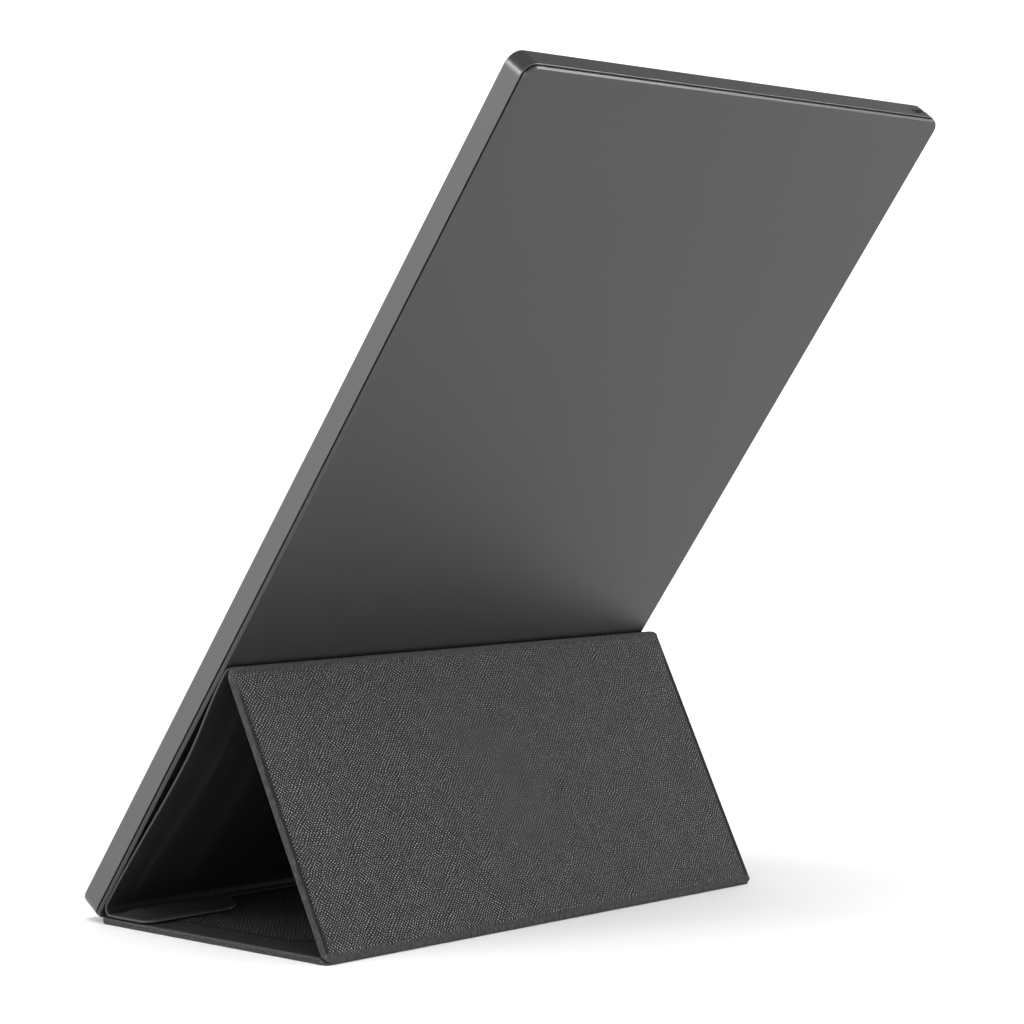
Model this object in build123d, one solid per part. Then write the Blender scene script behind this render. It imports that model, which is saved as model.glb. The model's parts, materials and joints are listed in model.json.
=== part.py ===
from build123d import *
from math import acos, atan2, cos, degrees, hypot, radians, sin
import os

# A thin portable monitor that stands upright on its folded cover.
# All lengths are millimetres, all angles degrees. The origin is the middle of
# the floor panel's underside, +Z is up and the screen faces -Y.

# ---- cover ----
case_width = 232.4
floor_length = 119.4  # front edge to rear fold line
slope_length = 110.6  # rear fold line to top fold line
cloth = 0.5
board = 1.4
lining = 0.4
field_pile = 0.3  # woven field on top of the floor lining
fold_gap = 4.4  # from a fold line to the stiff part of a panel
fold_inner_round = 0.4
panel_corner = 3.5
board_clearance = 0.1
seam_inset = 2.2  # pressed seam line to the panel's side edge
seam_width = 1.6
seam_depth = 0.2
soft_clearance = 0.3  # between soft pieces and pieces of other bodies

# ---- soft sheet on the monitor's back, with its two closing tongues ----
sheet = 1.0
bow = 2.5  # how far the sheet bellies off the monitor
bow_from_top = 41.0
curl_radius = 3.0
tongue_width = 52.0
tongue_depth = 20.8
hump_height = 1.2
hump_from_curl = 5.4
hump_end = 14.6  # from the curl to where the tongue lies flat
tongue_outer_corner = 5.0
tongue_inner_corner = 17.0
magnet_count = 4
magnet_pitch = 56.0
magnet_length = 34.0
magnet_width = 14.0
magnet_play = 0.3  # magnet to the sheet's belly
tongue_magnet_length = 30.0
tongue_magnet_width = 6.0
tongue_magnet_skin = 0.2  # sheet above and below the magnet
tongue_magnet_from_tip = 0.9
floor_magnet_cover = 0.3  # board under the magnet
floor_magnet_overhang = 1.0  # past the tongue's magnet

# ---- woven field on the floor panel ----
field_side_margin = 14.7
field_front = 14.5  # from the floor panel's front edge
field_back = 90.7
field_corner = 8.0

# ---- monitor casing ----
monitor_width = 227.0
monitor_height = 361.0
monitor_depth = 10.0
monitor_shift = 3.45  # sideways against the cover
top_fold_height = 120.8  # up the monitor's back
foot_reach = 1.89  # its lower back edge, in front of the floor panel
foot_height = 0.65  # and above the table
corner_radius = 5.5
bezel_depth = 1.3
bezel_inset = 1.0
bezel_edge = 0.3
frame_wall = 2.6
frame_rim = 1.1  # width of the rim outside the plate's seat
frame_edge = 0.3  # rounding of its back edge
frame_front_edge = 0.5
plate_thickness = 1.2
plate_inset = 0.5
plate_chamfer = 0.6
plate_corner = 4.5
plate_seam = 0.5
adhesive = 0.15
grip_plate_thickness = 0.8

# ---- display ----
side_bezel = 7.5  # beside the picture, on the side without keys
end_bezel = 8.4
chin = 25.9  # beside the picture, on the side with the keys
cell_thickness = 1.0
cell_margin = 2.4
cell_ledge = 7.0  # driver ledge on the key side
foam_tape = 0.2
foam_width = 1.5
film_stack = 0.4
guide_thickness = 0.6
reflector_thickness = 0.2
tray_thickness = 0.6
tray_clearance = 0.4
tray_ear_reach = 3.2
led_width = 1.2
driver_board_width = 11.0
driver_board_length = 240.0
driver_board_thickness = 0.8
driver_chip_width = 3.0
driver_chip_length = 12.0
flex_thickness = 0.15
flex_width = 26.0
flex_count = 4
flex_bulge = 1.2

# ---- screws and posts ----
screw_shank = 0.8
screw_head = 1.5
screw_head_height = 0.4
screw_slot = 0.45
thread_bite = 0.05
post_radius = 2.2
hole_floor = 0.2  # material left under a screw hole
tip_gap = 0.2  # from the hole's floor to the screw's tip

# ---- electronics ----
socket_from_side = 9.6  # centre of the socket to the monitor's side
socket_width = 9.4
socket_height = 3.8
socket_wall = 0.45
socket_length = 7.6
socket_gap = 0.2  # to the hole in the side frame
contact_width = 6.7
contact_thickness = 0.7
contact_recess = 2.05  # below the monitor's upper edge
main_board_width = 68.0
main_board_height = 84.0
main_board_thickness = 1.0
main_board_from_top = 5.6
main_board_from_side = 4.0
chip_height = 1.1
scaler_size = 14.0
power_chip_count = 3
power_chip_size = 6.0
power_chip_pitch = 9.0
power_chips_from_top = 20.0
power_chips_from_driver = 10.0
can_length = 34.0
can_width = 28.0
can_wall = 0.2
can_gap = 0.3  # to the panel's tray
can_from_side = 8.0
can_from_bottom = 24.0
standoff_radius = 2.0
standoff_inset = 5.0
standoff_from_driver = 4.0
standoff_from_top = 14.0
insulator_thickness = 0.2
insulator_inset = 2.0
cable_thickness = 0.3
cable_gap = 0.3
cable_tail = 8.0  # laid flat past a board's edge
cable_drop = 6.0  # length over which a cable changes depth
display_cable_width = 7.0
button_cable_width = 3.0

# ---- keys on the chin ----
key_length = 9.6
key_width = 3.6
key_clearance = 0.2
key_travel = 0.4
key_edge = 0.25
key_flange = 1.1
key_flange_thickness = 0.5
flange_gap = 0.05  # behind the bezel, at rest
stem_gap = 0.05  # above the pressed switch
key_places = [30.0, 48.0, 66.0]  # up from the monitor's lower edge
key_names = ["power_key", "menu_key", "select_key"]
key_stem_radius = 1.0
button_board_side_gap = 2.3  # to the side frame and to the panel's tray
button_board_thickness = 0.8
button_board_gap = 2.8  # bezel to button board
switch_size = 4.4
switch_height = 1.0
lamp_height = 0.5
light_pipe_radius = 0.8
light_pipe_gap = 0.05
light_pipe_from_key = 9.0

# ---- worked out: the stand's triangle, from its three sides ----
base = hypot(floor_length + foot_reach, foot_height)
base_tilt = degrees(atan2(foot_height, floor_length + foot_reach))
leg = hypot(top_fold_height, soft_clearance)
leg_tilt = degrees(atan2(soft_clearance, top_fold_height))
rear_corner = degrees(acos((slope_length**2 + base**2 - leg**2) / (2 * slope_length * base)))
foot_corner = degrees(acos((leg**2 + base**2 - slope_length**2) / (2 * leg * base)))
rear_angle = rear_corner + base_tilt  # between the floor panel and the sloped panel
lean = 90 - foot_corner + base_tilt - leg_tilt  # of the monitor, from upright

# ---- worked out: cover ----
panel = cloth + board + lining
floor_top = panel + field_pile
half_case = case_width / 2
front_y = -floor_length / 2
rear_y = floor_length / 2
slope_angle = 180 - rear_angle
apex_y = rear_y + slope_length * cos(radians(slope_angle))
apex_z = slope_length * sin(radians(slope_angle))
floor_end = floor_length - fold_gap
slope_start = fold_gap
slope_end = slope_length - fold_gap
up = (sin(radians(lean)), cos(radians(lean)))  # up the monitor, in Y and Z
out = (cos(radians(lean)), -sin(radians(lean)))  # out of its back, in Y and Z

# ---- worked out: monitor ----
back_offset = monitor_depth + soft_clearance
monitor_y = apex_y - up[0] * top_fold_height - out[0] * back_offset
monitor_z = apex_z - up[1] * top_fold_height - out[1] * back_offset
half_width = monitor_width / 2
plate_front = monitor_depth - plate_thickness
frame_back = plate_front - plate_seam
ledge_back = plate_front - adhesive
middle = monitor_height / 2
active_width = monitor_width - side_bezel - chin
active_height = monitor_height - 2 * end_bezel
picture_high = half_width - side_bezel
picture_low = picture_high - active_width
cell_front = bezel_depth + foam_tape
film_front = cell_front + cell_thickness
guide_front = film_front + film_stack
reflector_front = guide_front + guide_thickness
tray_front = reflector_front + reflector_thickness
tray_back = tray_front + tray_thickness
driver_back = tray_back + driver_board_thickness
cell_low = picture_low - cell_ledge
cell_high = picture_high + cell_margin
cell_half = active_height / 2 + cell_margin
film_low = picture_low - cell_margin
tray_low = cell_low - tray_clearance - tray_thickness
tray_high = cell_high + tray_clearance + tray_thickness
tray_half = cell_half + tray_clearance + tray_thickness
driver_x = (cell_low, cell_low + driver_board_width)
driver_z = (middle - driver_board_length / 2, middle + driver_board_length / 2)
flex_pitch = driver_board_length / flex_count
flex_places = [driver_z[0] + flex_pitch * (count + 0.5) for count in range(flex_count)]
ear_x = tray_low - tray_ear_reach
ear_places = [driver_z[0] + flex_pitch * count for count in range(1, flex_count)]
socket_x = socket_from_side - half_width
socket_from_front = monitor_depth / 2
socket_low = monitor_height - socket_length
board_front = socket_from_front + socket_height / 2
board_back = board_front + main_board_thickness
board_low_x = main_board_from_side - half_width
board_high_x = board_low_x + main_board_width
board_top = monitor_height - main_board_from_top
board_bottom = board_top - main_board_height
standoff_places = [
    (x, z)
    for x in (driver_x[1] + standoff_from_driver, board_high_x - standoff_inset)
    for z in (board_bottom + standoff_inset, board_top - standoff_from_top)
]
wall_x = frame_wall - half_width
key_x = (wall_x + tray_low) / 2
button_board_width = tray_low - wall_x - 2 * button_board_side_gap
button_board_front = bezel_depth + button_board_gap
button_board_back = button_board_front + button_board_thickness
light_pipe_place = key_places[0] - light_pipe_from_key
button_post_places = [(key_places[0] + key_places[1]) / 2, key_places[-1] + light_pipe_from_key]
button_board_bottom = light_pipe_place - button_board_width / 2
button_board_top = button_post_places[-1] + button_board_width / 2

# ---- worked out: soft sheet ----
back_foot_y = monitor_y + out[0] * monitor_depth
back_foot_z = monitor_z + out[1] * monitor_depth
curl_z = floor_top + soft_clearance + curl_radius
curl_off = soft_clearance + curl_radius
curl_height = (curl_z - back_foot_z - out[1] * curl_off) / up[1]
curl_y = back_foot_y + up[0] * curl_height + out[0] * curl_off
curl_turn = 90 + lean
sheet_top = fold_gap
sheet_end = top_fold_height - curl_height
tongue_low = floor_top + soft_clearance
tongue_tip = curl_y + tongue_depth
tongue_ends = [(side * (half_case - tongue_width), side * half_case) for side in (-1, 1)]
magnet_places = [(count - (magnet_count - 1) / 2) * magnet_pitch for count in range(magnet_count)]
tongue_magnet_places = [side * (half_case - tongue_width / 2) for side in (-1, 1)]
tongue_magnet_back = tongue_tip - tongue_magnet_from_tip
tongue_magnet_front = tongue_magnet_back - tongue_magnet_width

floor_place = Location((0, front_y, 0))
slope_place = Location((0, rear_y, 0), (slope_angle, 0, 0))
sheet_place = Location(
    (0, apex_y - out[0] * soft_clearance, apex_z - out[1] * soft_clearance),
    (270 - lean, 0, 0),
)
monitor_place = Location((monitor_shift, monitor_y, monitor_z), (-lean, 0, 0))


# ------------------------------------------------------------- common shapes
def save(name, shape):
    export_step(shape, f"parts/{name}.step")


def save_group(name, place, solids):
    save(name, Compound(children=[place * solid for solid in solids]))


def around(centre, length):
    return (centre - length / 2, centre + length / 2)


def slab(x, y, z):
    """A box from its low and high limits along each axis."""
    size = (x[1] - x[0], y[1] - y[0], z[1] - z[0])
    centre = ((x[0] + x[1]) / 2, (y[0] + y[1]) / 2, (z[0] + z[1]) / 2)
    return Pos(*centre) * Box(*size)


def through_monitor(outline, x, z, depth):
    """An outline seen from the front, run through the monitor between two depths."""
    face = Plane.XZ * Pos(x, z) * outline
    return Pos(0, depth[0], 0) * extrude(face, depth[0] - depth[1])


def rod(x, z, depth, radius):
    return through_monitor(Circle(radius), x, z, depth)


def casing_outline(inset, depth, corner):
    outline = RectangleRounded(monitor_width - 2 * inset, monitor_height - 2 * inset, corner)
    return through_monitor(outline, 0, middle, depth)


def along_case(face, x):
    """Runs a Y-Z outline along X between two limits."""
    return Pos(min(x), 0, 0) * extrude(face, abs(x[1] - x[0]))


def screw(x, z, seat, under_head):
    """A slotted screw, from the surface its post stands on to its head."""
    shank = rod(x, z, (seat + hole_floor + tip_gap, under_head), screw_shank)
    head = rod(x, z, (under_head, under_head + screw_head_height), screw_head)
    slot_depth = (under_head + screw_head_height / 2, under_head + screw_head_height)
    slot = slab(around(x, 2 * screw_head), slot_depth, around(z, screw_slot))
    return shank + head - slot


def post(x, z, seat, top, radius):
    """A round post with a blind screw hole."""
    return rod(x, z, (seat, top), radius) - rod(x, z, (seat + hole_floor, top), screw_shank)


def clearance_hole(x, z):
    return rod(x, z, (0, monitor_depth), screw_shank + thread_bite)


# -------------------------------------------------------------- cover panels
def panel_outline(start, end, depth, closed_front):
    """A panel's whole width between two distances, rounded at a free front edge."""
    body = slab((-half_case, half_case), (start, end), depth)
    if not closed_front:
        return body
    return fillet(body.edges().filter_by(Axis.Z).sort_by(Axis.Y)[:2], panel_corner)


def cloth_tray(start, end, closed_front):
    """Outer cloth of a panel, turned in over its side edges."""
    skin = panel_outline(start, end, (0, panel), closed_front)
    inner_start = start + cloth if closed_front else start
    skin -= slab((cloth - half_case, half_case - cloth), (inner_start, end), (cloth, panel))
    for side in (-1, 1):
        seam = around(side * (half_case - seam_inset), seam_width)
        skin -= slab(seam, (start + seam_inset, end), (0, seam_depth))
    return skin


def panel_layer(start, end, depth, closed_front, skin):
    """A flat layer inside the cloth, with the panel's rounded corners."""
    edge = half_case - cloth
    layer = slab((-edge, edge), (start, end), depth)
    return (layer & panel_outline(start, end, depth, closed_front)) - skin


def make_floor_panel():
    skin = cloth_tray(0, floor_end, True)
    stiff = panel_layer(cloth, floor_end, (cloth, cloth + board), True, skin)
    inner = panel_layer(cloth, floor_end, (cloth + board, panel), True, skin)
    magnets = []
    for place in tongue_magnet_places:
        magnet = slab(
            around(place, tongue_magnet_length),
            (tongue_magnet_front - floor_magnet_overhang - front_y, tongue_tip - front_y),
            (cloth + floor_magnet_cover, cloth + board),
        )
        stiff -= magnet
        magnets.append(magnet)
    field = slab(
        (field_side_margin - half_case, half_case - field_side_margin),
        (field_front, field_back),
        (panel, floor_top),
    )
    field = fillet(field.edges().filter_by(Axis.Z), field_corner)
    save("floor_outer_cloth", floor_place * skin)
    save("floor_board", floor_place * stiff)
    save("floor_lining", floor_place * inner)
    save("floor_woven_field", floor_place * field)
    save_group("floor_magnets", floor_place, magnets)


def make_sloped_panel():
    skin = cloth_tray(slope_start, slope_end, False)
    stiff = panel_layer(slope_start, slope_end, (cloth, cloth + board), False, skin)
    inner = panel_layer(slope_start, slope_end, (cloth + board, panel), False, skin)
    save("sloped_outer_cloth", slope_place * skin)
    save("sloped_board", slope_place * stiff)
    save("sloped_lining", slope_place * inner)


def corner_waste(corner, angle, thickness):
    """What rounding takes off a panel's two corners where the panel meets a fold line."""
    waste = slab((-half_case, half_case), (0, panel_corner), (-thickness, thickness))
    straight = half_case - panel_corner
    waste -= slab((-straight, straight), (0, panel_corner), (-thickness, thickness))
    for side in (-1, 1):
        waste -= Pos(side * straight, panel_corner) * Cylinder(panel_corner, 2 * thickness)
    return Location((0, *corner), (angle, 0, 0)) * waste


def fold_strip(corner, from_angle, to_angle):
    """Cloth and lining round a fold line, from one panel's end to the next panel's."""
    thickness = cloth + lining
    first = (cos(radians(from_angle)), sin(radians(from_angle)))
    second = (cos(radians(to_angle)), sin(radians(to_angle)))
    middle_angle = radians((from_angle + to_angle) / 2)
    reach = thickness / sin(radians((from_angle - to_angle) / 2))
    inside = (corner[0] + reach * cos(middle_angle), corner[1] + reach * sin(middle_angle))
    first_end = (corner[0] + fold_gap * first[0], corner[1] + fold_gap * first[1])
    second_end = (corner[0] + fold_gap * second[0], corner[1] + fold_gap * second[1])
    first_in = (first_end[0] + thickness * first[1], first_end[1] - thickness * first[0])
    second_in = (second_end[0] - thickness * second[1], second_end[1] + thickness * second[0])
    face = make_face(Polyline(first_end, corner, second_end, second_in, inside, first_in, close=True))
    outer = face.vertices().sort_by_distance(Vector(*corner))[0]
    face = fillet(outer, fold_inner_round + thickness)
    inner = face.vertices().sort_by_distance(Vector(*inside))[0]
    face = fillet(inner, fold_inner_round)
    strip = along_case(Plane.YZ * face, (board_clearance - half_case, half_case - board_clearance))
    for angle in (from_angle, to_angle):
        strip -= corner_waste(corner, angle, thickness)
    return strip


# ------------------------------------------------- soft sheet and its tongues
def curl_face():
    """The sheet's lower end, rolled from the monitor's back onto the floor panel."""
    centre = (curl_y, curl_z)
    outer = CenterArc(centre, curl_radius, 180 - lean, curl_turn)
    inner = CenterArc(centre, curl_radius - sheet, 180 - lean, curl_turn)
    ends = [Line(inner @ 0, outer @ 0), Line(outer @ 1, inner @ 1)]
    return make_face([outer, inner] + ends)


def thickened(curves):
    """Outline of the sheet along a line of curves, one thickness above them."""
    raised = [Pos(0, sheet) * curve for curve in curves]
    first = Line(curves[0] @ 0, raised[0] @ 0)
    last = Line(curves[-1] @ 1, raised[-1] @ 1)
    return make_face(curves + raised + [first, last])


def sheet_face():
    """Bellied profile of the sheet, in its own frame: Y down the sheet, Z off the back."""
    top = (sheet_top, soft_clearance)
    peak = (bow_from_top, soft_clearance + bow)
    foot = (sheet_end, soft_clearance)
    level = [(1, 0), (1, 0)]
    return thickened([Spline(top, peak, tangents=level), Spline(peak, foot, tangents=level)])


def tongue_face():
    """Side outline of a tongue, which lies on the floor panel with a soft hump."""
    start = (curl_y, tongue_low)
    crest = (curl_y + hump_from_curl, tongue_low + hump_height)
    settled = (curl_y + hump_end, tongue_low)
    level = [(1, 0), (1, 0)]
    rise = Spline(start, crest, tangents=level)
    fall = Spline(crest, settled, tangents=level)
    return thickened([rise, fall, Line(settled, (tongue_tip, tongue_low))])


def tongue_plan(inner, outer):
    """Seen from above: rounded at its free corners, more at the inner one."""
    corners = [(inner, curl_y), (outer, curl_y), (outer, tongue_tip), (inner, tongue_tip)]
    face = make_face(Polyline(*corners, close=True))
    outer_corner = face.vertices().sort_by_distance(Vector(outer, tongue_tip))[0]
    face = fillet(outer_corner, tongue_outer_corner)
    inner_corner = face.vertices().sort_by_distance(Vector(inner, tongue_tip))[0]
    face = fillet(inner_corner, tongue_inner_corner)
    return extrude(face, 2 * curl_z, dir=(0, 0, 1))


def make_mount_sheet():
    body = sheet_place * along_case(Plane.YZ * sheet_face(), (-half_case, half_case))
    body += along_case(Plane.YZ * curl_face(), (tongue_ends[0][0], tongue_ends[1][0]))
    save("mount_sheet", body)
    magnets = []
    for place in magnet_places:
        depth = (soft_clearance, soft_clearance + bow - magnet_play)
        magnets.append(slab(around(place, magnet_length), around(bow_from_top, magnet_width), depth))
    save_group("mount_magnets", sheet_place, magnets)


def make_tongues():
    thickness = (tongue_low + tongue_magnet_skin, tongue_low + sheet - tongue_magnet_skin)
    magnets = []
    curls = []
    for name, ends, place in zip(("left", "right"), tongue_ends, tongue_magnet_places):
        body = along_case(Plane.YZ * tongue_face(), ends) & tongue_plan(*ends)
        strip = (tongue_magnet_front, tongue_magnet_back)
        magnet = slab(around(place, tongue_magnet_length), strip, thickness) & body
        save(f"closing_tongue_{name}", body - magnet)
        magnets.append(magnet)
        curls.append(along_case(Plane.YZ * curl_face(), ends))
    save_group("tongue_magnets", Location(), magnets)
    save_group("tongue_fold_strips", Location(), curls)


# ------------------------------------------------------------- monitor casing
def make_side_frame():
    body = casing_outline(0, (0, frame_back), corner_radius)
    body = fillet(body.faces().sort_by(Axis.Y)[-1].edges(), frame_edge)
    body = fillet(body.faces().sort_by(Axis.Y)[0].edges(), frame_front_edge)
    seat_corner = corner_radius - frame_rim
    body += casing_outline(frame_rim, (frame_back - frame_edge, ledge_back), seat_corner)
    body -= casing_outline(frame_wall, (0, monitor_depth), corner_radius - frame_wall)
    body -= casing_outline(bezel_inset, (0, bezel_depth), corner_radius - bezel_inset)
    body -= socket_tube(socket_gap)
    save("side_frame", monitor_place * body)


def make_rear_plate():
    body = casing_outline(plate_inset, (plate_front, monitor_depth), plate_corner)
    body = chamfer(body.faces().sort_by(Axis.Y)[-1].edges(), plate_chamfer)
    save("rear_plate", monitor_place * body)
    ring = casing_outline(frame_rim, (ledge_back, plate_front), corner_radius - frame_rim)
    ring -= casing_outline(frame_wall, (0, monitor_depth), corner_radius - frame_wall)
    save("plate_adhesive", monitor_place * ring)


def make_grip_plates():
    """Steel strips behind the rear plate that the cover's magnets grip."""
    strips = []
    height = top_fold_height - bow_from_top
    for place in magnet_places:
        strips.append(slab(
            around(place - monitor_shift, magnet_length),
            (plate_front - grip_plate_thickness, plate_front),
            around(height, magnet_width),
        ))
    save_group("grip_plates", monitor_place, strips)


def make_front_bezel():
    body = casing_outline(bezel_inset, (0, bezel_depth), corner_radius - bezel_inset)
    body = fillet(body.faces().sort_by(Axis.Y)[0].edges(), bezel_edge)
    through = (0, bezel_depth)
    body -= slab((picture_low, picture_high), through, around(middle, active_height))
    for place in key_places:
        body -= through_monitor(key_outline(key_clearance), key_x, place, through)
    body -= rod(key_x, light_pipe_place, through, light_pipe_radius + light_pipe_gap)
    for place in ear_places:
        body += post(ear_x, place, bezel_depth, tray_front, post_radius)
    for place in button_post_places:
        body += post(key_x, place, bezel_depth, button_board_front, post_radius)
    save("front_bezel", monitor_place * body)


# -------------------------------------------------------------- display stack
def stack_plate(depth, thickness, low, high, half):
    return slab((low, high), (depth, depth + thickness), (middle - half, middle + half))


def make_display():
    tape_x = (picture_low - foam_tape, picture_high + foam_tape)
    tape_half = active_height / 2 + foam_tape
    tape = stack_plate(
        bezel_depth, foam_tape, tape_x[0] - foam_width, tape_x[1] + foam_width, tape_half + foam_width
    )
    tape -= stack_plate(0, monitor_depth, *tape_x, tape_half)
    save("panel_foam_tape", monitor_place * tape)
    cell = stack_plate(cell_front, cell_thickness, cell_low, cell_high, cell_half)
    save("lcd_cell", monitor_place * cell)
    films = stack_plate(film_front, film_stack, film_low, cell_high, cell_half)
    save("diffuser_films", monitor_place * films)
    guide = stack_plate(guide_front, guide_thickness, film_low, cell_high, cell_half)
    save("light_guide", monitor_place * guide)
    led_low = film_low - led_width
    lights = stack_plate(guide_front, guide_thickness, led_low, film_low, cell_half - cell_margin)
    save("led_strip", monitor_place * lights)
    reflector = stack_plate(reflector_front, reflector_thickness, led_low, cell_high, cell_half)
    save("reflector_film", monitor_place * reflector)


def make_panel_tray():
    body = stack_plate(cell_front, tray_back - cell_front, tray_low, tray_high, tray_half)
    inside = (tray_low + tray_thickness, tray_high - tray_thickness, tray_half - tray_thickness)
    body -= stack_plate(0, tray_front, *inside)
    for place in flex_places:
        notch = around(place, flex_width + 2 * tray_clearance)
        body -= slab((tray_low, tray_low + tray_thickness), (0, tray_front), notch)
    for place in ear_places:
        body += slab((ear_x - post_radius, tray_low), (tray_front, tray_back), around(place, 2 * post_radius))
        body -= clearance_hole(ear_x, place)
    save("panel_tray", monitor_place * body)
    screws = [screw(ear_x, place, bezel_depth, tray_back) for place in ear_places]
    save_group("tray_screws", monitor_place, screws)


def make_panel_driver():
    """Driver board behind the tray, joined to the cell's ledge by flexes round its edge."""
    save("panel_driver_board", monitor_place * slab(driver_x, (tray_back, driver_back), driver_z))
    edge = tray_low - flex_bulge
    ledge_x = cell_low + cell_ledge / 2
    chip_x = (cell_low + cell_ledge, cell_low + cell_ledge + driver_chip_width)
    chips = []
    flexes = []
    for place in flex_places:
        span = around(place, flex_width)
        flex = slab((edge, ledge_x), (film_front, driver_back + flex_thickness), span)
        flex -= slab((edge + flex_thickness, ledge_x), (film_front + flex_thickness, driver_back), span)
        flexes.append(flex)
        chip_z = around(place, driver_chip_length)
        chips.append(slab(chip_x, (driver_back, driver_back + chip_height), chip_z))
    save_group("panel_flexes", monitor_place, flexes)
    save_group("panel_driver_chips", monitor_place, chips)


# ---------------------------------------------------------------- electronics
def socket_tube(extra):
    """The socket's outer shape, out through the top edge."""
    face = SlotOverall(socket_width + 2 * extra, socket_height + 2 * extra)
    return Pos(socket_x, socket_from_front, socket_low) * extrude(face, socket_length + corner_radius)


def make_usb_socket():
    shell = socket_tube(0) & casing_outline(0, (0, monitor_depth), corner_radius)
    bore = SlotOverall(socket_width - 2 * socket_wall, socket_height - 2 * socket_wall)
    bore_floor = socket_low + socket_wall
    shell -= Pos(socket_x, socket_from_front, bore_floor) * extrude(bore, socket_length)
    save("usb_c_shell", monitor_place * shell)
    blade = slab(
        around(socket_x, contact_width),
        around(socket_from_front, contact_thickness),
        (bore_floor, monitor_height - contact_recess),
    )
    blade &= casing_outline(socket_wall, (0, monitor_depth), corner_radius - socket_wall)
    save("usb_c_contact_blade", monitor_place * blade)


def make_main_board():
    body = slab((board_low_x, board_high_x), (board_front, board_back), (board_bottom, board_top))
    standoffs = []
    screws = []
    for x, z in standoff_places:
        body -= clearance_hole(x, z)
        standoffs.append(post(x, z, tray_back, board_front, standoff_radius))
        screws.append(screw(x, z, tray_back, board_back))
    save("main_board", monitor_place * body)
    save_group("board_standoffs", monitor_place, standoffs)
    save_group("board_screws", monitor_place, screws)


def make_board_parts():
    chip_depth = (board_front - chip_height, board_front)
    can_x = around(board_high_x - can_from_side - can_length / 2, can_length)
    can_z = around(board_bottom + can_from_bottom + can_width / 2, can_width)
    can_front = tray_back + can_gap
    can = slab(can_x, (can_front, board_front), can_z)
    can -= slab(
        (can_x[0] + can_wall, can_x[1] - can_wall),
        (can_front + can_wall, board_front),
        (can_z[0] + can_wall, can_z[1] - can_wall),
    )
    save("shield_can", monitor_place * can)
    scaler_x = around((can_x[0] + can_x[1]) / 2, scaler_size)
    scaler_z = around((can_z[0] + can_z[1]) / 2, scaler_size)
    save("scaler_chip", monitor_place * slab(scaler_x, chip_depth, scaler_z))
    power_z = (board_top - power_chips_from_top - power_chip_size, board_top - power_chips_from_top)
    power_chips = []
    for count in range(power_chip_count):
        x = driver_x[1] + power_chips_from_driver + power_chip_pitch * count
        power_chips.append(slab((x, x + power_chip_size), chip_depth, power_z))
    save_group("power_chips", monitor_place, power_chips)
    cover = slab(
        (board_low_x + insulator_inset, board_high_x),
        (plate_front - insulator_thickness, plate_front),
        (board_bottom, board_top),
    )
    save("insulating_sheet", monitor_place * cover)


def ribbon(route, low_x, width):
    """A flat cable that follows a route of depths and heights."""
    face = trace(Polyline(*route), cable_thickness)
    return monitor_place * along_case(Plane.YZ * face, (low_x, low_x + width))


def cable_route(low_depth, low_end):
    """From the main board's front face down to another board's back face."""
    high = board_front - cable_thickness / 2
    low = low_depth + cable_thickness / 2
    bend = board_bottom - cable_tail
    return [(high, board_bottom + cable_tail), (high, bend), (low, bend - cable_drop), (low, low_end)]


def make_cables():
    display_end = board_bottom - 2 * cable_tail - cable_drop
    display_x = driver_x[1] - cable_gap - display_cable_width
    save("display_cable", ribbon(cable_route(driver_back, display_end), display_x, display_cable_width))
    button_end = button_board_top - cable_tail
    button_x = key_x + screw_head + cable_gap
    save("button_cable", ribbon(cable_route(button_board_back, button_end), button_x, button_cable_width))


# ----------------------------------------------------------------------- keys
def key_outline(margin):
    return SlotOverall(key_length + 2 * margin, key_width + 2 * margin, 90)


def make_keys():
    cap_back = bezel_depth + flange_gap
    flange_back = cap_back + key_flange_thickness
    stem_end = button_board_front - switch_height - key_travel - stem_gap
    for name, place in zip(key_names, key_places):
        cap = through_monitor(key_outline(0), key_x, place, (0, cap_back))
        cap = fillet(cap.faces().sort_by(Axis.Y)[0].edges(), key_edge)
        flange = through_monitor(key_outline(key_flange), key_x, place, (cap_back, flange_back))
        stem = rod(key_x, place, (cap_back, stem_end), key_stem_radius)
        save(name, monitor_place * (cap + flange + stem))


def make_button_board():
    board_x = around(key_x, button_board_width)
    body = slab(board_x, (button_board_front, button_board_back), (button_board_bottom, button_board_top))
    screws = []
    for place in button_post_places:
        body -= clearance_hole(key_x, place)
        screws.append(screw(key_x, place, bezel_depth, button_board_back))
    save("button_board", monitor_place * body)
    save_group("button_board_screws", monitor_place, screws)
    switches = []
    switch_depth = (button_board_front - switch_height, button_board_front)
    for place in key_places:
        switches.append(slab(around(key_x, switch_size), switch_depth, around(place, switch_size)))
    save_group("key_switches", monitor_place, switches)


def make_indicator():
    lamp_front = button_board_front - lamp_height
    lamp_width = 2 * light_pipe_radius
    lamp = slab(
        around(key_x, lamp_width), (lamp_front, button_board_front), around(light_pipe_place, lamp_width)
    )
    save("indicator_lamp", monitor_place * lamp)
    pipe = rod(key_x, light_pipe_place, (0, lamp_front), light_pipe_radius)
    save("indicator_light_pipe", monitor_place * pipe)


os.makedirs("parts", exist_ok=True)
make_floor_panel()
make_sloped_panel()
save("rear_fold_strip", fold_strip((rear_y, 0), 180, slope_angle))
save("top_fold_strip", fold_strip((apex_y, apex_z), 360 - rear_angle, 270 - lean))
make_mount_sheet()
make_tongues()
make_side_frame()
make_rear_plate()
make_grip_plates()
make_front_bezel()
make_display()
make_panel_tray()
make_panel_driver()
make_usb_socket()
make_main_board()
make_board_parts()
make_cables()
make_keys()
make_button_board()
make_indicator()
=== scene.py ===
import json
from math import acos, atan2, cos, degrees, pi, radians, sin

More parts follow.
